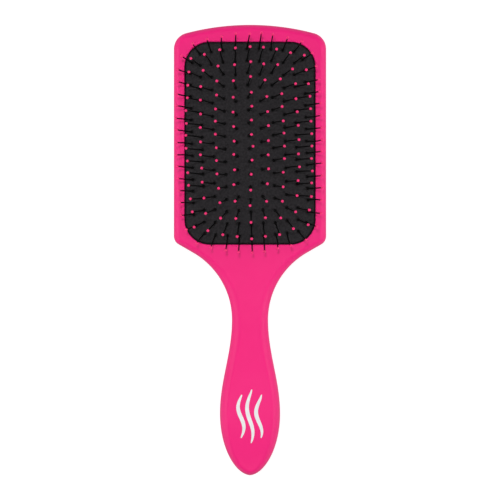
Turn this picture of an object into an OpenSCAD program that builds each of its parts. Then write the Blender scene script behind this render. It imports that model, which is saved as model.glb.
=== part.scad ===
// Cushioned paddle hair brush.
// The brush lies on its back. +Z points out of the bristles, +Y to the head's far end and -Y down the handle.
// The origin is under the middle of the brush, on the surface that it lies on.

/* [Body] */
// Overall length of the brush
brush_length = 262; // [240:1:285]
// Width across the flat sides of the head
head_width = 88.6; // [82:0.2:96]
// Height of the frame's face over the surface the brush lies on
face_height = 12.5; // [11.5:0.1:15]
// Height of the grip at its fullest
grip_height = 17; // [15:0.5:20]
// Width of the neck at its narrowest
neck_width = 21; // [18:0.5:26]
// Width of the grip at its fullest
grip_width = 35; // [30:0.5:40]
// Height of the flat seam between the two shells
seam_height = 6.5; // [6:0.1:7]
// Thickness of the head's back wall
back_wall = 2.4; // [1.8:0.1:3]
// Least side wall around the hollow handle
side_wall = 2.8; // [2.2:0.1:3.5]

/* [Cushion] */
// Width of the opening that shows the cushion
window_width = 76; // [70:0.5:80]
// Length of the opening that shows the cushion
window_length = 117.6; // [110:0.2:122]
// Corner radius of that opening
window_corner = 14.6; // [10:0.2:20]
// Running gap between the cushion and the opening
window_gap = 0.4; // [0.2:0.1:0.8]
// How far the flange reaches out under the frame
flange_reach = 2; // [1.4:0.1:2.2]
// Rise of the cushion's middle over its rim
cushion_crown = 5.2; // [3:0.1:6.5]
// Thickness of the rubber
rubber = 1.8; // [1.4:0.1:2.2]

/* [Bristles] */
// Distance from the rubber to the middle of a ball tip
bristle_reach = 19.3; // [15:0.1:22]
// Radius of a filament
filament_r = 0.42; // [0.3:0.01:0.5]
// Radius of a ball tip
ball_r = 0.8; // [0.7:0.05:1.1]
// Sideways lean of the column that leans most, measured at the ball
side_lean = 8.6; // [4:0.1:9]
// Lengthwise lean of the end row at the head's far end, measured at the ball
far_lean = 7.2; // [3:0.1:9]
// Lengthwise lean of the end row next to the handle
near_lean = 9.2; // [3:0.1:10]
// Sideways lean that the middle column has of itself
middle_lean = 1.7; // [0:0.1:2]
// Turn of the bristle set against the frame, in degrees
set_turn = 1.45; // [-1.5:0.05:1.5]
// Largest stray of a ball from its place
stray = 0.4; // [0:0.05:0.5]

/* [Hidden] */

pink = "#F0327D";
rubber_black = "#29272A";
nylon_black = "#111012";

// Plan of the body, from the middle of the head's far edge round the right side to the handle's end.
top_y = brush_length / 2;
end_y = -brush_length / 2;
half_head = head_width / 2;
half_neck = neck_width / 2;
half_grip = grip_width / 2;
far_edge_r = 146;
far_corner_r = 9.5;
far_corner = [half_head - far_corner_r,
              top_y - far_edge_r + sqrt((far_edge_r - far_corner_r) ^ 2 - (half_head - far_corner_r) ^ 2)];
far_corner_a = asin(far_corner[0] / (far_edge_r - far_corner_r));
// The shoulder leaves the side at shoulder_y on a straight slope, and a hollow arc carries it into the neck.
shoulder_a = 30;
shoulder_y = 4.9;
shoulder_r = 5.5;
shoulder_centre = [half_head - shoulder_r, shoulder_y + shoulder_r * tan(shoulder_a)];
hollow_r = 45;
slope_foot_y = shoulder_y - (half_head - half_neck) * tan(shoulder_a);
hollow_centre = [half_neck + hollow_r, slope_foot_y - hollow_r * tan(shoulder_a)];
grip_y = -95.3;
grip_end_power = 1.12;

function far_edge() = [for (i = [0:8]) let (a = far_corner_a * i / 8)
    [far_edge_r * sin(a), top_y - far_edge_r + far_edge_r * cos(a)]];
function far_round() = [for (i = [1:8]) let (a = far_corner_a + (90 - far_corner_a) * i / 8)
    far_corner + far_corner_r * [sin(a), cos(a)]];
function side() = [for (i = [1:7])
    [half_head, far_corner[1] + (shoulder_centre[1] - far_corner[1]) * i / 8]];
function shoulder_round() = [for (i = [0:6]) let (a = (90 - shoulder_a) * i / 6)
    shoulder_centre + shoulder_r * [cos(a), -sin(a)]];
function hollow() = [for (i = [0:13]) let (a = (90 - shoulder_a) * (1 - i / 13))
    hollow_centre + hollow_r * [-cos(a), sin(a)]];
function grip_side() = [for (i = [1:13]) let (t = i / 13)
    [half_neck + (half_grip - half_neck) * (1 - cos(180 * t)) / 2,
     hollow_centre[1] + (grip_y - hollow_centre[1]) * t]];
function grip_end() = [for (i = [1:13]) let (a = 90 * i / 13)
    [half_grip * pow(max(cos(a), 0), grip_end_power), grip_y + (end_y - grip_y) * sin(a)]];
right_side = concat(far_edge(), far_round(), side(), shoulder_round(), hollow(), grip_side(), grip_end());
last = len(right_side) - 1;
plan = concat(right_side, [for (i = [last - 1:-1:1]) [-right_side[i][0], right_side[i][1]]]);
plan_n = len(plan);

// Inward normal at each point of the plan, and a soft step from 0 to 1.
function unit(v) = v / norm(v);
function inward(i) = let (d = unit(plan[(i + 1) % plan_n] - plan[(i + plan_n - 1) % plan_n])) [d[1], -d[0]];
function step(t) = let (c = min(max(t, 0), 1)) c * c * (3 - 2 * c);

// Heights and edge radii along the brush. Each changes over a stretch, given as where it starts and how
// long it is, going towards the handle's end.
crown_edge = 3;
back_edge = 5;
grip_rise = [-28, 62];
grip_fall = [-98, 33];
grip_fall_h = 2.6;
neck_rise = [4, 34];
neck_fall = [-52, 34];
neck_lift = 1.4;
heel_rise = [-112, 19];
heel_lift = 1.6;
handle_soften = [2, 36];
handle_soften_r = 2;
end_tighten = [-104, 27];
end_tighten_r = 1.5;
function over(stretch, y) = step((stretch[0] - y) / stretch[1]);
function top_z(y) =
    face_height + (grip_height - face_height) * over(grip_rise, y) - grip_fall_h * over(grip_fall, y);
function bottom_z(y) =
    neck_lift * over(neck_rise, y) * (1 - over(neck_fall, y)) + heel_lift * over(heel_rise, y);
function edge_r(y, head_edge) =
    head_edge + handle_soften_r * over(handle_soften, y) - end_tighten_r * over(end_tighten, y);

// One half of the body: rings step in from the plan and rise to a flat strip along the middle.
rings = 7;
function ring_in(k) = 1 - cos(90 * k / rings);
function ring_up(k) = sin(90 * k / rings);
function rim_point(i, k, head_edge) = plan[i] + inward(i) * edge_r(plan[i][1], head_edge) * ring_in(k);
function half_point(i, k, face, head_edge) = let (p = rim_point(i, k, head_edge), y = plan[i][1])
    [p[0], p[1], seam_height + ((face > 0 ? top_z(y) : bottom_z(y)) - seam_height) * ring_up(k)];

module half_skin(face, head_edge) {
    points = [for (k = [0:rings]) for (i = [0:plan_n - 1]) half_point(i, k, face, head_edge)];
    walls = [for (k = [0:rings - 1]) for (i = [0:plan_n - 1]) let (j = (i + 1) % plan_n, a = k * plan_n)
        each [[a + i, a + j, a + plan_n + j], [a + i, a + plan_n + j, a + plan_n + i]]];
    strips = [for (k = [0, rings]) for (i = [0:last - 1])
        let (a = k * plan_n, l0 = (plan_n - i) % plan_n, l1 = plan_n - i - 1,
             quad = i == 0 ? [[a, a + l1, a + 1]]
                  : i == last - 1 ? [[a + i, a + l0, a + last]]
                  : [[a + i, a + l0, a + l1], [a + i, a + l1, a + i + 1]])
        each [for (f = quad) k == 0 ? f : [f[2], f[1], f[0]]]];
    faces = concat(walls, strips);
    polyhedron(points, face > 0 ? faces : [for (f = faces) [f[2], f[1], f[0]]], convexity = 6);
}

// The cushion's opening, flange and seat are one rounded rectangle, grown or shrunk.
cushion_y = 61.9;
half_w = window_width / 2;
half_l = window_length / 2;
module window_plan(grow) {
    r = window_corner + grow;
    w = half_w + grow - r;
    l = half_l + grow - r;
    translate([0, cushion_y])
        union() {
            square([2 * w, 2 * (l + r)], center = true);
            square([2 * (w + r), 2 * l], center = true);
            for (sx = [-1, 1])
                for (sy = [-1, 1])
                    translate([sx * w, sy * l])
                        circle(r = r, $fn = 48);
        }
}
module window_block(grow, low, high) {
    translate([0, 0, low])
        linear_extrude(high - low)
            window_plan(grow);
}

lip = 2.2;
lip_z = face_height - lip;
flange_low = lip_z - 2.1;
flange_gap = 0.12;
seat_gap = 0.3;
cut = 1;

// Hollow of the handle, shared by both shells.
handle_low = 4.2;
handle_high = 9.5;
handle_from = -14;
handle_to = -119;
hollow_plan = [for (i = [0:last]) if (right_side[i][1] < handle_from && right_side[i][1] > handle_to)
    right_side[i] - [side_wall, 0]];
hollow_mirrored = [for (i = [len(hollow_plan) - 1:-1:0]) [-hollow_plan[i][0], hollow_plan[i][1]]];
module handle_hollow() {
    translate([0, 0, handle_low])
        linear_extrude(handle_high - handle_low)
            polygon(concat(hollow_plan, hollow_mirrored));
}

// Locating pins of the front shell stand in the back shell's bosses.
pin_ys = [-28, -66, -102];
pin_r = 1.4;
pin_gap = 0.1;
boss_r = 3;
pin_low = handle_low + 0.8;

module front_shell() {
    color(pink) {
        difference() {
            half_skin(1, crown_edge);
            window_block(flange_reach + seat_gap, seam_height - cut, lip_z);
            window_block(0, seam_height - cut, face_height + cut);
            handle_hollow();
        }
        for (y = pin_ys)
            translate([0, y, pin_low])
                cylinder(r = pin_r, h = handle_high + 0.5 - pin_low, $fn = 32);
    }
}

module back_shell() {
    seat_out = flange_reach;
    seat_in = -0.2;
    color(pink) {
        difference() {
            half_skin(-1, back_edge);
            window_block(seat_in, back_wall, seam_height + cut);
            handle_hollow();
        }
        difference() {
            window_block(seat_out, seam_height - cut, flange_low - flange_gap);
            window_block(seat_in, seam_height - 2 * cut, flange_low + cut);
        }
        for (y = pin_ys)
            translate([0, y, handle_low - 0.5])
                difference() {
                    cylinder(r = boss_r, h = seam_height - handle_low + 0.5, $fn = 48);
                    translate([0, 0, pin_low - handle_low + 0.2])
                        cylinder(r = pin_r + pin_gap, h = seam_height, $fn = 48);
                }
    }
}

// The cushion's crown. Its rim is level, and it is fullest in the middle.
crown_power = 2.4;
rim_z = face_height - 0.5;
pad_w = half_w - window_gap;
pad_l = half_l - window_gap;
function crown(x, y) =
    max(0, 1 - pow(abs(x) / pad_w, crown_power)) * max(0, 1 - pow(abs(y) / pad_l, crown_power));
function pad_z(x, y) = rim_z + cushion_crown * crown(x, y);

corner_steps = 6;
end_runs = 6;
side_runs = 10;
pad_rings = 7;
ring_crowding = 0.8;
pad_corner_r = window_corner - window_gap;
function pad_corner(sx, sy, from) = let (c = [sx * (pad_w - pad_corner_r), sy * (pad_l - pad_corner_r)])
    [for (i = [0:corner_steps]) let (a = from + 90 * i / corner_steps) c + pad_corner_r * [cos(a), sin(a)]];
function run(a, b, n) = [for (i = [1:n - 1]) a + (b - a) * i / n];
function pad_rim() = let (c1 = pad_corner(1, 1, 0), c2 = pad_corner(-1, 1, 90), c3 = pad_corner(-1, -1, 180),
                          c4 = pad_corner(1, -1, 270), e = corner_steps)
    concat(c1, run(c1[e], c2[0], end_runs), c2, run(c2[e], c3[0], side_runs),
           c3, run(c3[e], c4[0], end_runs), c4, run(c4[e], c1[0], side_runs));

module pad_dome() {
    rim = pad_rim();
    n = len(rim);
    inner = (pad_w - rubber) / pad_w;
    scales = [for (k = [0:pad_rings - 1]) pow(1 - k / pad_rings, ring_crowding)];
    // Rings from the rim to the middle: the crown first, then the wall's foot and the underside.
    top = [for (s = scales) for (p = rim * s) [p[0], p[1], pad_z(p[0], p[1])]];
    foot = [for (p = rim * inner) [p[0], p[1], flange_low]];
    under = [for (s = scales) for (p = rim * s * inner) [p[0], p[1], pad_z(p[0], p[1]) - rubber]];
    outer_foot = [for (p = rim) [p[0], p[1], flange_low]];
    points = concat(top, [[0, 0, pad_z(0, 0)]], foot, under, [[0, 0, pad_z(0, 0) - rubber]], outer_foot);
    top_tip = pad_rings * n;
    b = top_tip + 1;
    under_tip = b + (pad_rings + 1) * n;
    o = under_tip + 1;
    faces = concat(
        [for (k = [0:pad_rings - 2]) for (i = [0:n - 1]) let (j = (i + 1) % n, a = k * n)
            each [[a + i, a + n + j, a + j], [a + i, a + n + i, a + n + j]]],
        [for (i = [0:n - 1]) [top_tip - n + i, top_tip, top_tip - n + (i + 1) % n]],
        [for (k = [0:pad_rings - 1]) for (i = [0:n - 1]) let (j = (i + 1) % n, a = b + k * n)
            each [[a + i, a + j, a + n + j], [a + i, a + n + j, a + n + i]]],
        [for (i = [0:n - 1]) [under_tip - n + i, under_tip - n + (i + 1) % n, under_tip]],
        [for (i = [0:n - 1]) let (j = (i + 1) % n) each [[i, j, o + j], [i, o + j, o + i]]],
        [for (i = [0:n - 1]) let (j = (i + 1) % n) each [[o + i, o + j, b + j], [o + i, b + j, b + i]]]);
    translate([0, cushion_y, 0])
        polyhedron(points, faces, convexity = 6);
}

module cushion_pad() {
    color(rubber_black)
        difference() {
            union() {
                pad_dome();
                difference() {
                    window_block(flange_reach - 0.2, flange_low, lip_z - flange_gap);
                    window_block(-window_gap - rubber / 2, flange_low - cut, lip_z + cut);
                }
            }
            for (c = [1:columns])
                for (b = column_bristles(c))
                    along(b)
                        translate([0, 0, -below])
                            cylinder(r = filament_r + hole_gap, h = below + cut, $fn = 16);
        }
}

// Bristles stand in lengthwise columns. The odd columns hold one fewer than the even ones.
columns = 11;
middle = (columns + 1) / 2;
longest = 16;
function count(c) = c % 2 == 0 ? longest : longest - 1;
// For each column from the middle out: its distance from the middle one, half its length, and its share of
// side_lean.
column_x = [0, 7, 13.9, 20.7, 27.1, 33.1];
column_half = [54.2, 54.1, 53.5, 52.9, 51.9, 47.2];
column_lean = [0, 0.33, 0.62, 0.85, 1, 0.98];
// The end rows stand a little closer, and the end bristles of the outermost columns stand in from their line.
row_crowding = 0.025;
corner_pull = 1.2;
set_shift = [-0.45, 0.3];
// The filament runs through a hole in the rubber, and its round head holds it from below.
hole_gap = 0.1;
head_r = 0.95;
head_gap = 0.35;
below = rubber + head_gap + head_r;
socket = 0.3;
stray_seed = 41;
strays = rands(-stray, stray, 2 * columns * longest, stray_seed);

// Place of a bristle in the set, before the set is turned and shifted.
function place(c, i) =
    let (m = abs(c - middle), t = 1 - 2 * i / (count(c) - 1), corner = c % (columns - 1) == 1 && abs(t) == 1)
    [sign(c - middle) * (column_x[m] - (corner ? corner_pull : 0)),
     column_half[m] * t * (1 + row_crowding * (1 - t * t))];
function turned(p) = set_shift
    + [p[0] * cos(set_turn) - p[1] * sin(set_turn), p[0] * sin(set_turn) + p[1] * cos(set_turn)];

// Sideways lean, which fades towards the end rows, and least so in the outer columns.
side_fade = 2.4;
side_keep = 0.55;
side_keep_power = 1.7;
// The middle's own lean fades towards the sides, and along a stretch of the set towards the handle.
middle_fade = 2.5;
middle_none = -0.6;
middle_full = -0.1;
function side_way(c, u, v) =
    sign(c - middle) * side_lean * column_lean[abs(c - middle)]
        * (1 - (1 - side_keep * pow(u, side_keep_power)) * pow(abs(v), side_fade))
    + middle_lean * pow(1 - u, middle_fade) * step((v - middle_none) / (middle_full - middle_none));
// Lengthwise lean, which gathers in the end rows, and most so in the outer columns.
end_gather = 2.6;
outer_gather = 4;
outer_less = 0.55;
function end_way(u, v) =
    (v > 0 ? far_lean : -near_lean) * (1 - outer_less * u * u)
        * sin(90 * pow(abs(v), end_gather + outer_gather * u * u));
function lean(c, p) = let (u = abs(p[0]) / column_x[5], v = p[1] / column_half[0])
    [side_way(c, u, v), end_way(u, v)];

// A bristle is its root on the rubber and the way from there to its ball.
function bristle(c, i) = let (p = place(c, i), r = turned(p), n = 2 * (longest * (c - 1) + i),
                              l = lean(c, p) + [strays[n], strays[n + 1]])
    [[r[0], r[1] + cushion_y, pad_z(r[0], r[1])], [l[0], l[1], sqrt(bristle_reach ^ 2 - l * l)]];
function column_bristles(c) = [for (i = [0:count(c) - 1]) bristle(c, i)];

// Puts its children at a bristle's root, with +Z along the bristle.
module along(b) {
    d = b[1];
    translate(b[0])
        rotate([0, acos(d[2] / norm(d)), atan2(d[1], d[0])])
            children();
}

module bristle_column(c) {
    color(nylon_black)
        for (b = column_bristles(c))
            along(b)
                translate([0, 0, -below]) {
                    cylinder(r = filament_r, h = below + bristle_reach + socket, $fn = 24);
                    sphere(r = head_r, $fn = 24);
                }
}

module ball_column(c) {
    color(pink)
        for (b = column_bristles(c))
            along(b)
                difference() {
                    translate([0, 0, bristle_reach])
                        sphere(r = ball_r, $fn = 24);
                    cylinder(r = filament_r, h = bristle_reach + socket, $fn = 24);
                }
}

front_shell();
back_shell();
cushion_pad();
for (c = [1:columns]) {
    number = c < 10 ? str("0", c) : str(c);
    bristle_column(c);
    ball_column(c);
}
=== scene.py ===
"""Cushioned paddle hair brush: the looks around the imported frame.

Lengths are in metres, in the frame's own axes: +Z out of the bristles, +Y towards the head's far end."""
import math

import bmesh
import bpy
import numpy as np
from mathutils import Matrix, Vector
from mathutils.bvhtree import BVHTree


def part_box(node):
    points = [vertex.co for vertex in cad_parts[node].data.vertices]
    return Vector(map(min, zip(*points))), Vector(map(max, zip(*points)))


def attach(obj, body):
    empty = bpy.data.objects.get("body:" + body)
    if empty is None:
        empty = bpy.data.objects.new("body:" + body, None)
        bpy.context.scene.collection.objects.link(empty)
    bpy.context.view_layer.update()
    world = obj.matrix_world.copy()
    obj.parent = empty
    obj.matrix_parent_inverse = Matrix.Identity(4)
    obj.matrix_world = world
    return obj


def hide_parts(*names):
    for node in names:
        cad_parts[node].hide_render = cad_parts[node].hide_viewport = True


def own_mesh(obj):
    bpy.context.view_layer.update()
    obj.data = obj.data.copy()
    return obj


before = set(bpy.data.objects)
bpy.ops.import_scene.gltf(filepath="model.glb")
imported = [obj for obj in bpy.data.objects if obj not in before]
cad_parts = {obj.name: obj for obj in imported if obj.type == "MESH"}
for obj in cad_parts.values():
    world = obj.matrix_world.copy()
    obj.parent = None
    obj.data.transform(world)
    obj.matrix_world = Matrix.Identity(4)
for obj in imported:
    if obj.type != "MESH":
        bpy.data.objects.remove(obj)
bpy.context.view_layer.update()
MM = 0.001

# ---------------------------------------------------------------- sizes
# Outer sizes come from the frame. Most of the rest repeat the design's own values. The radii of the shells'
# edges, the gap and moat round the cushion, the bow of the bristles and the print are this model's own.
front_low, front_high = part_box("front_shell")
HALF_HEAD = front_high.x
TOP_Y = front_high.y
END_Y = front_low.y
GRIP_Z = front_high.z
BACK_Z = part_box("back_shell")[0].z
SEAM_Z = 6.5 * MM
FACE_Z = 12.5 * MM
HALF_NECK = 10.5 * MM
HALF_GRIP = 17.5 * MM
FAR_EDGE_R = 146 * MM
FAR_CORNER_R = 9.5 * MM
SHOULDER_A = math.radians(30)
SHOULDER_Y = 4.9 * MM
SHOULDER_R = 5.5 * MM
HOLLOW_R = 45 * MM
GRIP_Y = -95.3 * MM
GRIP_END_POWER = 1.12
CUSHION_Y = 61.9 * MM
WINDOW_W = 38 * MM
WINDOW_L = 58.8 * MM
WINDOW_CORNER = 14.6 * MM
WINDOW_GAP = 0.9 * MM
RIM_Z = 12 * MM
CROWN_H = 5.2 * MM
CROWN_POWER = 2.4
RUBBER = 1.8 * MM
FLANGE_Z = 8.2 * MM
BRISTLE_REACH = 19.3 * MM
SOCKET = 0.3 * MM
HEAD_R = 0.95 * MM
BELOW = 3.1 * MM
BALL_R = 0.8 * MM
BOW_SPREAD = 0.3 * MM
FRONT_EDGE = 4 * MM
BACK_EDGE = 5 * MM
NECK_SOFTEN_R = 2.2 * MM
GRIP_TIGHTEN_R = 1 * MM
END_TIGHTEN_R = 1.5 * MM
END_FALL_H = 2.6 * MM
NECK_ARCH_H = 1.4 * MM
END_LIFT_H = 1.6 * MM
POCKET_FLOOR = 2.4 * MM
POCKET_INSET = 0.2 * MM
FLANGE_OUT = 1.7 * MM
FLANGE_H = 1.9 * MM
MOAT_FLOOR_H = 0.7 * MM
PRINT_Y = -96 * MM

# Stretches over which the handle's heights and edges change: (start, length) in millimetres. Each runs from
# start towards the handle's end.
RISE_TO_GRIP = (-28, 62)
END_FALL = (-98, 33)
NECK_ARCH = (4, 34)
NECK_ARCH_BACK = (-52, 34)
END_LIFT = (-112, 19)
NECK_SOFTEN = (2, 36)
GRIP_TIGHTEN = (-52, 30)
END_TIGHTEN = (-104, 27)

rng = np.random.default_rng(7)


# ---------------------------------------------------------------- mesh helpers
def mesh_object(name, points, faces, smooth_angle=40):
    """A mesh object, shaded smooth except over edges sharper than smooth_angle degrees."""
    mesh = bpy.data.meshes.new(name)
    mesh.from_pydata([tuple(map(float, p)) for p in points], [], [tuple(map(int, f)) for f in faces])
    obj = bpy.data.objects.new(name, mesh)
    bpy.context.scene.collection.objects.link(obj)
    tidy_normals(obj, smooth_angle)
    return obj


def tidy_normals(obj, smooth_angle=40):
    """Turns the faces outwards, and shades them smooth up to smooth_angle degrees."""
    bm = bmesh.new()
    bm.from_mesh(obj.data)
    bmesh.ops.recalc_face_normals(bm, faces=bm.faces)
    bm.to_mesh(obj.data)
    bm.free()
    obj.data.shade_smooth()
    obj.data.set_sharp_from_angle(angle=math.radians(smooth_angle))


def apply_modifiers(obj):
    bpy.context.view_layer.update()
    done = bpy.data.meshes.new_from_object(obj.evaluated_get(bpy.context.evaluated_depsgraph_get()))
    old = obj.data
    obj.modifiers.clear()
    obj.data = done
    bpy.data.meshes.remove(old)


def cut(obj, cutter):
    """Cuts cutter out of obj and removes it."""
    step = obj.modifiers.new("cut", "BOOLEAN")
    step.operation = "DIFFERENCE"
    step.solver = "EXACT"
    step.object = cutter
    apply_modifiers(obj)
    bpy.data.objects.remove(cutter)


def ring_faces(rings, n, start=0):
    """Quads between consecutive closed rings of n points."""
    faces = []
    for k in range(rings - 1):
        low, high = start + k * n, start + (k + 1) * n
        for i in range(n):
            j = (i + 1) % n
            faces.append((low + i, low + j, high + j, high + i))
    return faces


def soft_step(t):
    t = np.clip(t, 0, 1)
    return t * t * (3 - 2 * t)


# ---------------------------------------------------------------- plan of the body
def plan_right():
    """Right side of the body in plan, from the middle of the far edge to the handle's end."""
    corner_x = HALF_HEAD - FAR_CORNER_R
    corner_y = TOP_Y - FAR_EDGE_R + math.sqrt((FAR_EDGE_R - FAR_CORNER_R) ** 2 - corner_x ** 2)
    corner_a = math.asin(corner_x / (FAR_EDGE_R - FAR_CORNER_R))
    shoulder = (HALF_HEAD - SHOULDER_R, SHOULDER_Y + SHOULDER_R * math.tan(SHOULDER_A))
    foot_y = SHOULDER_Y - (HALF_HEAD - HALF_NECK) * math.tan(SHOULDER_A)
    hollow = (HALF_NECK + HOLLOW_R, foot_y - HOLLOW_R * math.tan(SHOULDER_A))
    turn = math.pi / 2 - SHOULDER_A
    a = np.linspace(0, corner_a, 24)
    parts = [np.c_[FAR_EDGE_R * np.sin(a), TOP_Y - FAR_EDGE_R + FAR_EDGE_R * np.cos(a)]]
    a = np.linspace(corner_a, math.pi / 2, 22)[1:]
    parts.append(np.c_[corner_x + FAR_CORNER_R * np.sin(a), corner_y + FAR_CORNER_R * np.cos(a)])
    y = np.linspace(corner_y, shoulder[1], 40)[1:-1]
    parts.append(np.c_[np.full_like(y, HALF_HEAD), y])
    a = np.linspace(0, turn, 16)
    parts.append(np.c_[shoulder[0] + SHOULDER_R * np.cos(a), shoulder[1] - SHOULDER_R * np.sin(a)])
    slope_end = (hollow[0] - HOLLOW_R * math.cos(turn), hollow[1] + HOLLOW_R * math.sin(turn))
    t = np.linspace(0, 1, 6)[1:-1, None]
    parts.append(parts[-1][-1] * (1 - t) + np.array(slope_end) * t)
    a = np.linspace(turn, 0, 34)
    parts.append(np.c_[hollow[0] - HOLLOW_R * np.cos(a), hollow[1] + HOLLOW_R * np.sin(a)])
    t = np.linspace(0, 1, 38)[1:]
    parts.append(np.c_[HALF_NECK + (HALF_GRIP - HALF_NECK) * (1 - np.cos(math.pi * t)) / 2,
                       hollow[1] + (GRIP_Y - hollow[1]) * t])
    a = np.linspace(0, math.pi / 2, 34)[1:]
    parts.append(np.c_[HALF_GRIP * np.maximum(np.cos(a), 0) ** GRIP_END_POWER,
                       GRIP_Y + (END_Y - GRIP_Y) * np.sin(a)])
    return np.concatenate(parts)


RIGHT = plan_right()
LAST = len(RIGHT) - 1
PLAN = np.concatenate([RIGHT, (RIGHT[1:-1] * [-1, 1])[::-1]])
PLAN_N = len(PLAN)


def inward_normals():
    d = np.roll(PLAN, -1, axis=0) - np.roll(PLAN, 1, axis=0)
    d /= np.linalg.norm(d, axis=1)[:, None]
    return np.c_[d[:, 1], -d[:, 0]]


def over(y, stretch):
    """Goes smoothly from 0 to 1 along a stretch."""
    start, length = stretch
    return soft_step((start * MM - y) / (length * MM))


def top_z(y):
    """Height of the front shell's face."""
    return FACE_Z + (GRIP_Z - FACE_Z) * over(y, RISE_TO_GRIP) - END_FALL_H * over(y, END_FALL)


def bottom_z(y):
    """Height of the back: it arches under the neck and lifts at the handle's end."""
    arch = NECK_ARCH_H * over(y, NECK_ARCH) * (1 - over(y, NECK_ARCH_BACK))
    return BACK_Z + arch + END_LIFT_H * over(y, END_LIFT)


def edge_r(y, head_edge):
    """How far a shell's rounded edge reaches in from the plan."""
    neck = head_edge + NECK_SOFTEN_R * over(y, NECK_SOFTEN)
    return neck - GRIP_TIGHTEN_R * over(y, GRIP_TIGHTEN) - END_TIGHTEN_R * over(y, END_TIGHTEN)


def half_body(name, height, head_edge):
    """One shell as a closed solid: rings step in from the plan and rise (or sink) to a flat face. The first
    ring is drawn in a little, so that the two shells meet in a fine groove."""
    rings = 18
    groove_in, groove_z = 0.16 * MM, 0.14 * MM
    inward = inward_normals()
    y = PLAN[:, 1]
    reach = edge_r(y, head_edge)
    rise = height(y) - SEAM_Z
    rows = [np.c_[PLAN + inward * groove_in, np.full(PLAN_N, SEAM_Z)]]
    for k in range(rings + 1):
        a = math.pi / 2 * k / rings
        into = 1 - math.cos(a)
        up = np.sign(rise) * np.maximum(np.abs(rise) * math.sin(a), groove_z)
        rows.append(np.c_[PLAN + inward * (reach * into)[:, None], SEAM_Z + up])
    faces = ring_faces(len(rows), PLAN_N)
    # The first and last rings are closed by quads from side to side, with a triangle at each end.
    for a in (0, (len(rows) - 1) * PLAN_N):
        faces += [(a, a + PLAN_N - 1, a + 1), (a + LAST - 1, a + LAST + 1, a + LAST)]
        faces += [(a + i, a + PLAN_N - i, a + PLAN_N - i - 1, a + i + 1) for i in range(1, LAST - 1)]
    return mesh_object(name, np.concatenate(rows), faces)


def window_ring(grow, z, corner_points=14):
    """One closed ring round the cushion's opening, widened by grow on every side."""
    r = WINDOW_CORNER + grow
    w, length = WINDOW_W + grow - r, WINDOW_L + grow - r
    points = []
    for q, (sx, sy) in enumerate(((1, 1), (-1, 1), (-1, -1), (1, -1))):
        for a in np.linspace(q * math.pi / 2, (q + 1) * math.pi / 2, corner_points):
            points.append((sx * w + r * math.cos(a), CUSHION_Y + sy * length + r * math.sin(a), z))
    return points


def ring_block(name, profile):
    """A closed block of window rings, from a profile of (grow, z) pairs."""
    rings = [window_ring(grow, z) for grow, z in profile]
    n = len(rings[0])
    last = (len(rings) - 1) * n
    faces = ring_faces(len(rings), n) + [tuple(range(n))[::-1], tuple(range(last, last + n))]
    return mesh_object(name, [p for ring in rings for p in ring], faces)


# ---------------------------------------------------------------- shells
PAST = 2 * MM  # how far a cutter runs past the face that it cuts


def front_shell():
    """The front shell, with the cushion's window cut through it and a rounded lip."""
    lip_round = 0.5 * MM
    obj = half_body("front_shell_skin", top_z, FRONT_EDGE)
    a = np.linspace(0, math.pi / 2, 9)
    fillet = [(lip_round * (1 - math.cos(t)), FACE_Z - lip_round + lip_round * math.sin(t)) for t in a]
    profile = [(0, SEAM_Z - PAST), *fillet, (lip_round, FACE_Z + PAST)]
    cut(obj, ring_block("window_cutter", profile))
    tidy_normals(obj, 50)
    return obj


def back_shell():
    """The back shell, with the air pocket under the cushion cut into it."""
    obj = half_body("back_shell_skin", bottom_z, BACK_EDGE)
    cut(obj, ring_block("pocket_cutter", [(-POCKET_INSET, POCKET_FLOOR), (-POCKET_INSET, SEAM_Z + PAST)]))
    tidy_normals(obj, 50)
    return obj


def weigh_normals(obj):
    """Flat faces stay flat in shading where they meet a rounded edge."""
    step = obj.modifiers.new("weighted", "WEIGHTED_NORMAL")
    step.keep_sharp = True
    step.weight = 80


front = front_shell()
back = back_shell()
for piece in (front, back):
    weigh_normals(piece)


# ---------------------------------------------------------------- bristles, read from the CAD solids
WELD = 1e-6  # points are rounded to this, so that triangles that meet share theirs


def solids_of(obj):
    """The points of each separate solid of a CAD node."""
    mesh = obj.data
    co = np.empty(len(mesh.vertices) * 3)
    mesh.vertices.foreach_get("co", co)
    co = co.reshape(-1, 3)
    mesh.calc_loop_triangles()
    tri = np.empty(len(mesh.loop_triangles) * 3, int)
    mesh.loop_triangles.foreach_get("vertices", tri)
    points, same = np.unique(np.round(co / WELD).astype(np.int64), axis=0, return_inverse=True)
    tri = same.reshape(-1)[tri].reshape(-1, 3)
    label = np.arange(len(points))
    while True:
        new = label.copy()
        np.minimum.at(new, tri.ravel(), np.repeat(label[tri].min(axis=1), 3))
        new = new[new]
        if (new == label).all():
            break
        label = new
    return [points[label == k] * WELD for k in np.unique(label)]


def bristle_axes(node):
    """(root on the rubber, direction) of each bristle of a CAD node, in order from the head's far end."""
    found = []
    for points in solids_of(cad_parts[node]):
        middle = points.mean(0)
        _, vectors = np.linalg.eigh(np.cov((points - middle).T))
        d = vectors[:, -1] * np.sign(vectors[2, -1])
        s = (points - middle) @ d
        top = points[s > s.max() - 0.01 * MM].mean(0)
        found.append((top - d * (BRISTLE_REACH + SOCKET), d))
    return sorted(found, key=lambda b: -b[0][1])


COLUMNS = [f"{c:02d}" for c in range(1, 12)]
axes = {c: bristle_axes(f"bristles_{c}") for c in COLUMNS}


def frame_along(d, roll):
    """Rotation that takes +Z to d, after a turn by roll about +Z."""
    z = d / np.linalg.norm(d)
    x = np.cross([0, 1, 0], z)
    x /= np.linalg.norm(x)
    y = np.cross(z, x)
    c, s = math.cos(roll), math.sin(roll)
    return np.c_[c * x + s * y, -s * x + c * y, z]


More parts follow.
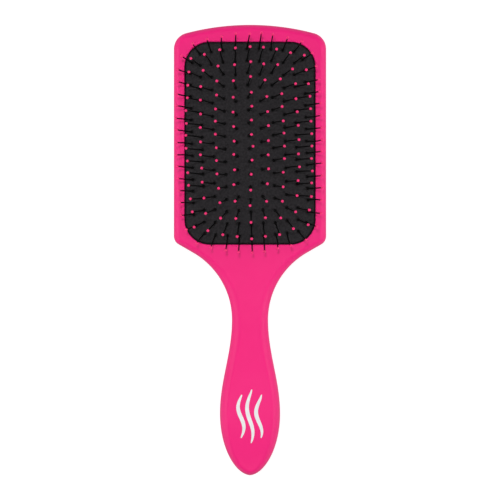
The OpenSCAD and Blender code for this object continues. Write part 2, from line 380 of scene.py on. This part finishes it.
def lathe(profile, segments):
    """Points and faces of a closed turned form. The profile's (r, z) pairs start and end on the axis."""
    a = np.arange(segments) * 2 * math.pi / segments
    rings = [np.c_[r * np.cos(a), r * np.sin(a), np.full(segments, z)] for r, z in profile[1:-1]]
    n = len(rings) * segments
    points = np.concatenate([*rings, [[0, 0, profile[0][1]], [0, 0, profile[-1][1]]]])
    faces = ring_faces(len(rings), segments)
    faces += [((i + 1) % segments, i, n) for i in range(segments)]
    faces += [(n - segments + i, n - segments + (i + 1) % segments, n + 1) for i in range(segments)]
    return points, faces


def scatter(name, forms, places):
    """One mesh with a form at each place. A form is (points, faces), and a place is (origin, rotation)."""
    all_points, all_faces = [], []
    for (points, faces), (origin, turn) in zip(forms, places):
        start = sum(len(p) for p in all_points)
        all_points.append(points @ turn.T + origin)
        all_faces += [tuple(i + start for i in f) for f in faces]
    return mesh_object(name, np.concatenate(all_points), all_faces, 60)


def filament_form(bow):
    """A tapered filament, bowed by bow at mid length, with a collar on the rubber and a round head below."""
    top = BRISTLE_REACH + SOCKET
    thick, thin, taper = 0.47 * MM, 0.34 * MM, 0.8
    head_sweep, collar_end = 2.55, 1.1 * MM
    head = [(HEAD_R * math.sin(a), -BELOW - HEAD_R * math.cos(a)) for a in np.linspace(0, head_sweep, 9)]
    outline = ((0.47, -2), (0.47, -0.75), (0.84, -0.7), (0.86, 0.3), (0.82, 0.46), (0.72, 0.55), (0.58, 0.62),
               (0.5, 0.8))
    collar = [(r * MM, z * MM) for r, z in outline]
    blade = [(thick + (thin - thick) * (z / top) ** taper, z) for z in np.linspace(collar_end, top, 15)]
    points, faces = lathe([*head, *collar, *blade, (0, top)], 12)
    t = np.clip(points[:, 2] / BRISTLE_REACH, 0, 1)
    points[:, 0] += bow * 4 * t * (1 - t)
    return points, faces


def ball_form():
    """A resin bead: round at the tip, drawn to a short neck on the filament."""
    bead_sweep, neck_end = 2.45, BRISTLE_REACH - 1 * MM
    a = np.linspace(0, bead_sweep, 13)
    bead = [(BALL_R * math.sin(t), BRISTLE_REACH + BALL_R * math.cos(t)) for t in a]
    neck = [(0.43 * MM, BRISTLE_REACH - 0.8 * MM), (0.385 * MM, neck_end)]
    return lathe([*bead, *neck, (0, neck_end)], 18)


def welt_form():
    """The low ring that the rubber raises round a bristle's collar."""
    profile = ((0, -0.9), (1.55, -0.9), (1.55, -0.3), (1.45, -0.04), (1.3, 0.12), (1.14, 0.19), (0.99, 0.15),
               (0.9, 0.02), (0.88, -0.3), (0, -0.3))
    return lathe([(r * MM, z * MM) for r, z in profile], 18)


# ---------------------------------------------------------------- cushion
def crown(x, y):
    """Height of the cushion's top over its level rim, at (x, y) from its middle."""
    u = np.abs(x) / (WINDOW_W - WINDOW_GAP)
    v = np.abs(y) / (WINDOW_L - WINDOW_GAP)
    return CROWN_H * np.maximum(0, 1 - u ** CROWN_POWER) * np.maximum(0, 1 - v ** CROWN_POWER)


def cushion():
    """The diaphragm: the clamped flange, the moat that parts the rim from the frame, a rounded shoulder, a
    full crown and the underside."""
    shoulder = 0.5 * MM
    straight = 9 * MM  # sides longer than this are divided
    rim = np.array(window_ring(-WINDOW_GAP, 0, 12))[:, :2] - [0, CUSHION_Y]
    rim = np.concatenate([np.linspace(a, b, 10, endpoint=False) if np.linalg.norm(b - a) > straight else [a]
                          for a, b in zip(rim, np.roll(rim, -1, axis=0))])
    n = len(rim)
    wide = 1 + FLANGE_OUT / WINDOW_W
    moat = 1 + WINDOW_GAP / (WINDOW_W - WINDOW_GAP)
    moat_z = FLANGE_Z + MOAT_FLOOR_H
    inner = 1 - RUBBER / WINDOW_W
    rows = []

    def row(share, z):
        """Adds the rim scaled by share, at height z or at z(x, y)."""
        xy = rim * share
        height = z(xy[:, 0], xy[:, 1]) if callable(z) else np.full(n, z)
        rows.append(np.c_[xy[:, 0], xy[:, 1] + CUSHION_Y, height])

    row(inner, FLANGE_Z)
    row(wide, FLANGE_Z)
    row(wide, FLANGE_Z + FLANGE_H)
    row(moat, FLANGE_Z + FLANGE_H)
    row(moat, moat_z)
    row(1, moat_z)
    row(1, RIM_Z - shoulder)
    for a in np.linspace(0, math.pi / 2, 6)[1:]:
        drop = shoulder * (1 - math.sin(a))
        share = 1 - shoulder * (1 - math.cos(a)) / WINDOW_W
        row(share, lambda x, y, drop=drop: RIM_Z + crown(x, y) - drop)
    inside = 1 - shoulder / WINDOW_W
    shares = inside * (1 - np.linspace(0, 1, 34)[1:-1] ** 1.15)
    for share in shares:
        row(share, lambda x, y: RIM_Z + crown(x, y))
    top_rows = len(rows)
    row(inner, FLANGE_Z)
    for share in inner * (1 - np.linspace(0, 1, 16)[:-1]):
        row(share, lambda x, y: RIM_Z + crown(x, y) - RUBBER)
    tips = [(0, CUSHION_Y, RIM_Z + CROWN_H), (0, CUSHION_Y, RIM_Z + CROWN_H - RUBBER)]
    points = np.concatenate([*rows, tips])
    faces = ring_faces(top_rows, n) + ring_faces(len(rows) - top_rows, n, top_rows * n)
    for end, tip in ((top_rows, len(points) - 2), (len(rows), len(points) - 1)):
        last = (end - 1) * n
        faces += [(last + i, last + (i + 1) % n, tip) for i in range(n)]
    obj = mesh_object("diaphragm", points, faces)
    bm = bmesh.new()
    bm.from_mesh(obj.data)
    bmesh.ops.remove_doubles(bm, verts=bm.verts, dist=1e-7)
    bm.to_mesh(obj.data)
    bm.free()
    return obj


def join(name, objects):
    """Several meshes as one object."""
    bm = bmesh.new()
    for o in objects:
        bm.from_mesh(o.data)
    mesh = bpy.data.meshes.new(name)
    bm.to_mesh(mesh)
    bm.free()
    for o in objects:
        bpy.data.objects.remove(o)
    obj = bpy.data.objects.new(name, mesh)
    bpy.context.scene.collection.objects.link(obj)
    tidy_normals(obj, 60)
    return obj


def crown_normal(root):
    """Upward normal of the cushion's crown at a bristle's root."""
    x, y, d = root[0], root[1] - CUSHION_Y, 0.1 * MM
    slope_x = (crown(x + d, y) - crown(x - d, y)) / (2 * d)
    slope_y = (crown(x, y + d) - crown(x, y - d)) / (2 * d)
    return np.array([-slope_x, -slope_y, 1])


def filament_column(c):
    """A column's filaments, each with a bow of its own."""
    forms = [filament_form(rng.normal(0, BOW_SPREAD)) for _ in places[c]]
    return scatter(f"filaments_{c}", forms, places[c])


places = {c: [(root, frame_along(d, rng.uniform(0, 2 * math.pi))) for root, d in axes[c]] for c in COLUMNS}
roots = [root for c in COLUMNS for root, _ in axes[c]]
welt_places = [(root, frame_along(crown_normal(root), 0)) for root in roots]
welts = scatter("welts", [welt_form()] * len(roots), welt_places)
pad = join("cushion_skin", [cushion(), welts])
filaments = {c: filament_column(c) for c in COLUMNS}
balls = {c: scatter(f"beads_{c}", [ball_form()] * len(places[c]), places[c]) for c in COLUMNS}


# ---------------------------------------------------------------- the print on the grip
def strand(centre_x, phase, length, sway, width, lift, surface):
    """A wavy stroke along Y, tapered to both ends, that lies on the surface."""
    n, waves, end_width = 64, 1.05, 0.18
    above = 0.1
    t = np.linspace(0, 1, n)
    y = PRINT_Y + length * (t - 0.5)
    x = centre_x + sway * np.sin(2 * math.pi * (t * waves + phase))
    d = np.gradient(np.c_[x, y], axis=0)
    d /= np.linalg.norm(d, axis=1)[:, None]
    half = width / 2 * (end_width + (1 - end_width) * np.sin(math.pi * t) ** 0.6)
    across = np.linspace(-1, 1, 5)
    points = []
    for k in range(n):
        for s in across:
            px, py = x[k] - d[k, 1] * half[k] * s, y[k] + d[k, 0] * half[k] * s
            hit = surface.ray_cast(Vector((px, py, above)), Vector((0, 0, -1)))[0]
            points.append((px, py, hit.z + lift))
    m = len(across)
    starts = [k * m + i for k in range(n - 1) for i in range(m - 1)]
    return points, [(a, a + 1, a + m + 1, a + m) for a in starts]


def grip_print():
    """Three strands side by side, a hair above the grip."""
    sway, width, lift = 1.7 * MM, 2.3 * MM, 0.03 * MM
    bm = bmesh.new()
    bm.from_mesh(front.data)
    surface = BVHTree.FromBMesh(bm)
    bm.free()
    points, faces = [], []
    for x, phase, length in ((-5.2 * MM, 0, 25 * MM), (0, 0.06, 31 * MM), (5.2 * MM, 0.12, 25 * MM)):
        p, f = strand(x, phase, length, sway, width, lift, surface)
        faces += [tuple(i + len(points) for i in face) for face in f]
        points += p
    return mesh_object("grip_print", points, faces)


mark = grip_print()


# ---------------------------------------------------------------- materials
def node_tools(material):
    """The material's emptied node tree, and a function that adds a node with the values of its inputs."""
    material.use_nodes = True
    tree = material.node_tree
    tree.nodes.clear()

    def add(kind, **values):
        node = tree.nodes.new(kind)
        for key, value in values.items():
            if key in node.inputs:
                node.inputs[key].default_value = value
            else:
                setattr(node, key, value)
        return node

    return tree, add


def noise(tree, add, coordinates, scale, detail=3.0, roughness=0.5):
    node = add("ShaderNodeTexNoise", Scale=scale, Detail=detail, Roughness=roughness)
    tree.links.new(coordinates, node.inputs["Vector"])
    return node.outputs["Fac"]


def span(tree, add, value, low, high):
    """Spreads the middle of a noise's values over low to high."""
    node = add("ShaderNodeMapRange")
    for key, number in (("From Min", 0.3), ("From Max", 0.7), ("To Min", low), ("To Max", high)):
        node.inputs[key].default_value = number
    tree.links.new(value, node.inputs["Value"])
    return node.outputs["Result"]


def mix_colour(tree, add, share, one, other):
    node = add("ShaderNodeMix", data_type="RGBA")
    node.inputs[6].default_value = (*one, 1)
    node.inputs[7].default_value = (*other, 1)
    tree.links.new(share, node.inputs[0])
    return node.outputs[2]


def bump(tree, add, height, distance, strength, under=None):
    node = add("ShaderNodeBump", Strength=strength, Distance=distance)
    tree.links.new(height, node.inputs["Height"])
    if under is not None:
        tree.links.new(under, node.inputs["Normal"])
    return node.outputs["Normal"]


def moulded(name, light, dark, roughness, grain, orange_peel, specular, patch_scale=45.0):
    """Moulded plastic, resin, rubber or ink. The colour drifts between light and dark in patches, and the
    roughness between its two values. The fine grain and the slower orange peel are each (scale, distance,
    strength)."""
    wear_scale = 3.1 * patch_scale
    material = bpy.data.materials.new(name)
    tree, add = node_tools(material)
    where = add("ShaderNodeTexCoord").outputs["Object"]
    shader = add("ShaderNodeBsdfPrincipled")
    shader.inputs["Specular IOR Level"].default_value = specular
    patches = noise(tree, add, where, patch_scale, 4.0)
    colour = mix_colour(tree, add, span(tree, add, patches, 0, 1), dark, light)
    tree.links.new(colour, shader.inputs["Base Color"])
    worn = noise(tree, add, where, wear_scale, 5.0, 0.6)
    tree.links.new(span(tree, add, worn, *roughness), shader.inputs["Roughness"])
    slow = bump(tree, add, noise(tree, add, where, orange_peel[0], 2.0), orange_peel[1], orange_peel[2])
    fine = bump(tree, add, noise(tree, add, where, grain[0], 2.0, 0.6), grain[1], grain[2], slow)
    tree.links.new(fine, shader.inputs["Normal"])
    out = add("ShaderNodeOutputMaterial")
    tree.links.new(shader.outputs[0], out.inputs["Surface"])
    return material


soft_touch = moulded("soft_touch_pink", (0.86, 0.0125, 0.194), (0.835, 0.0110, 0.184), (0.38, 0.46),
                     (5200, 0.03 * MM, 0.35), (260, 0.05 * MM, 0.2), specular=0.27)
rubber = moulded("black_rubber", (0.0272, 0.0250, 0.0277), (0.0123, 0.0113, 0.0126), (0.58, 0.75),
                 (3800, 0.04 * MM, 0.45), (1400, 0.06 * MM, 0.6), specular=0.12, patch_scale=900.0)
nylon = moulded("black_nylon", (0.0035, 0.0034, 0.0036), (0.0020, 0.0020, 0.0022), (0.30, 0.44),
                (6000, 0.01 * MM, 0.25), (900, 0.02 * MM, 0.2), specular=0.12, patch_scale=300.0)
resin = moulded("pink_resin", (0.90, 0.029, 0.178), (0.85, 0.023, 0.162), (0.40, 0.50),
                (3000, 0.01 * MM, 0.2), (900, 0.02 * MM, 0.2), specular=0.28, patch_scale=400.0)
ink = moulded("white_ink", (0.80, 0.80, 0.805), (0.74, 0.74, 0.75), (0.34, 0.46),
              (5200, 0.02 * MM, 0.3), (700, 0.02 * MM, 0.25), specular=0.2, patch_scale=240.0)


def dress(obj, material, body, slot, *nodes):
    """Gives a piece its material, the body that it rides on and the CAD nodes that it replaces. The slot
    argument is not used.
    """
    obj.data.materials.clear()
    obj.data.materials.append(material)
    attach(obj, body)
    if nodes:
        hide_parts(*nodes)


dress(front, soft_touch, "handle", "soft_touch_shell", "front_shell")
dress(back, soft_touch, "handle", "soft_touch_shell", "back_shell")
dress(mark, ink, "handle", "print_ink")
# The cushion rides on the handle: its flange stays clamped there.
dress(pad, rubber, "handle", "cushion_rubber", "cushion_pad")
for c in COLUMNS:
    dress(filaments[c], nylon, f"column_{c}", "bristle_nylon", f"bristles_{c}")
    dress(balls[c], resin, f"column_{c}", "ball_resin", f"ball_tips_{c}")
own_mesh(pad)


# ---------------------------------------------------------------- stage, light and camera
def white_paper():
    """Paper that glows, so that it stays white next to the brush."""
    material = bpy.data.materials.new("white_paper")
    tree, add = node_tools(material)
    where = add("ShaderNodeTexCoord").outputs["Object"]
    shader = add("ShaderNodeBsdfPrincipled", Roughness=0.9)
    tone = mix_colour(tree, add, noise(tree, add, where, 30.0), (0.28, 0.28, 0.28), (0.31, 0.31, 0.31))
    tree.links.new(tone, shader.inputs["Base Color"])
    shader.inputs["Emission Color"].default_value = (1, 1, 1, 1)
    shader.inputs["Emission Strength"].default_value = 0.80
    out = add("ShaderNodeOutputMaterial")
    tree.links.new(shader.outputs[0], out.inputs["Surface"])
    return material


def stage():
    """The floor that the brush lies on, and a round wall far behind it. Neither shows in the brush's gloss,
    and the wall gives it no light."""
    paper = white_paper()
    n, gap = 96, 0.1 * MM
    turn = np.arange(n) * 2 * math.pi / n
    ring = np.c_[np.cos(turn), np.sin(turn)]
    rise = np.linspace(0, math.pi / 2, 9)
    floor_r, bend_r, wall_top = 3.2, 0.9, 4.0
    floor = mesh_object("floor", np.c_[ring * floor_r, np.full(n, -gap)], [tuple(range(n))])
    rings = [np.c_[ring * (floor_r + bend_r * math.sin(a)), np.full(n, bend_r * (1 - math.cos(a)) - gap)]
             for a in rise]
    rings.append(np.c_[ring * (floor_r + bend_r), np.full(n, wall_top)])
    wall = mesh_object("wall", np.concatenate(rings), ring_faces(len(rings), n))
    wall.visible_shadow = False
    wall.visible_diffuse = False
    for obj in (floor, wall):
        obj.data.materials.append(paper)
        obj.visible_glossy = False


def softbox(name, place, aim, size, power):
    """A rectangular lamp at place that shines towards aim."""
    data = bpy.data.lights.new(name, "AREA")
    data.shape = "RECTANGLE"
    data.size, data.size_y = size
    data.energy = power
    lamp = bpy.data.objects.new(name, data)
    lamp.location = place
    lamp.rotation_euler = (Vector(aim) - Vector(place)).to_track_quat("-Z", "Y").to_euler()
    bpy.context.scene.collection.objects.link(lamp)
    return lamp


def studio():
    """An even sky, a small key light for the shadows, and softboxes above and on both sides for the gloss."""
    world = bpy.data.worlds.new("studio")
    bpy.context.scene.world = world
    world.use_nodes = True
    sky = world.node_tree.nodes["Background"]
    sky.inputs["Color"].default_value = (1, 1, 1, 1)
    sky.inputs["Strength"].default_value = 0.30
    key = softbox("key", (-0.05, 0.19, 1.40), (0, 0.03, 0), (0.05, 0.05), 6.0)
    key.visible_glossy = False
    softbox("overhead", (0, -0.12, 1.30), (0, -0.12, 0), (1.3, 0.6), 3.6)
    for name, side in (("left_strip", -1), ("right_strip", 1)):
        softbox(name, (side * 0.85, -0.02, 0.42), (0, 0, 0), (1.1, 0.55), 3.8)
    view = bpy.context.scene.view_settings
    view.view_transform = "Standard"
    view.look = "None"


def camera():
    """Straight down over the middle of the brush."""
    distance = 1.15
    sensor = 36.0
    share_filled = 0.9
    width_seen = (TOP_Y - END_Y) / share_filled
    data = bpy.data.cameras.new("camera")
    data.sensor_width = sensor
    data.lens = sensor * distance / width_seen
    data.clip_end = 20
    cam = bpy.data.objects.new("camera", data)
    cam.location = (0, 0, SEAM_Z + distance)
    bpy.context.scene.collection.objects.link(cam)
    bpy.context.scene.camera = cam


stage()
studio()
camera()
